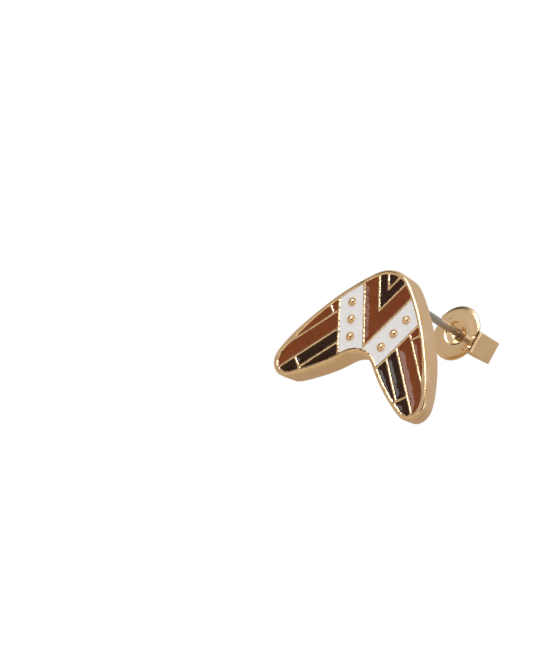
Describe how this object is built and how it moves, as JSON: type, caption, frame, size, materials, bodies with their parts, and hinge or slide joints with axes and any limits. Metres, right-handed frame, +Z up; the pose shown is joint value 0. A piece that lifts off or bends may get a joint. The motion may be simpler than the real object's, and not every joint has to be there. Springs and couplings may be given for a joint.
{
  "type": "stud earring",
  "caption": "Chevron-shaped stud earring: cast base with raised walls and pips, enamel-filled cells, soldered ear post and a sliding butterfly nut.",
  "frame": {"origin": "where the ear post's axis meets the flat back of the base", "axes": "+Y back along the ear post, out of the wearer's side of the base; +X to the viewer's right, across both tips; +Z up, towards the nose"},
  "size_m": [0.017, 0.0152, 0.0129],
  "materials": {
    "gold_casting": "gold-plated casting, polished rim and walls, satin sides",
    "brown_enamel": "glossy red-brown soft enamel",
    "dark_enamel": "glossy dark brown soft enamel",
    "white_enamel": "glossy cool white soft enamel",
    "post_steel": "drawn stainless wire",
    "solder": "dull solder fillet",
    "gold_sheet": "bright gold-plated pressed sheet"
  },
  "bodies": {
    "stud": {"base_plate": "gold_casting", "enamel_top_triangle": "dark_enamel", "enamel_inner_chevron": "dark_enamel", "enamel_outer_chevron": "brown_enamel", "enamel_white_panel_left": "white_enamel", "enamel_white_panel_right": "white_enamel", "enamel_corner_left": "brown_enamel", "enamel_corner_right": "brown_enamel", "enamel_edge_strip_left": "brown_enamel", "enamel_edge_strip_right": "brown_enamel", "enamel_main_strip_left": "brown_enamel", "enamel_main_strip_right": "brown_enamel", "enamel_middle_strip_left": "dark_enamel", "enamel_middle_strip_right": "dark_enamel", "enamel_lower_strip_left": "dark_enamel", "enamel_lower_strip_right": "dark_enamel", "enamel_tip_left": "dark_enamel", "enamel_tip_right": "dark_enamel", "ear_post": "post_steel", "post_solder": "solder"},
    "nut": {"ear_nut": "gold_sheet"}
  },
  "joints": [
    {"name": "nut_slide", "type": "slide", "parent": "stud", "child": "nut", "axis": [0, 1, 0], "range_m": [-0.0091, 0.0034]}
  ]
}
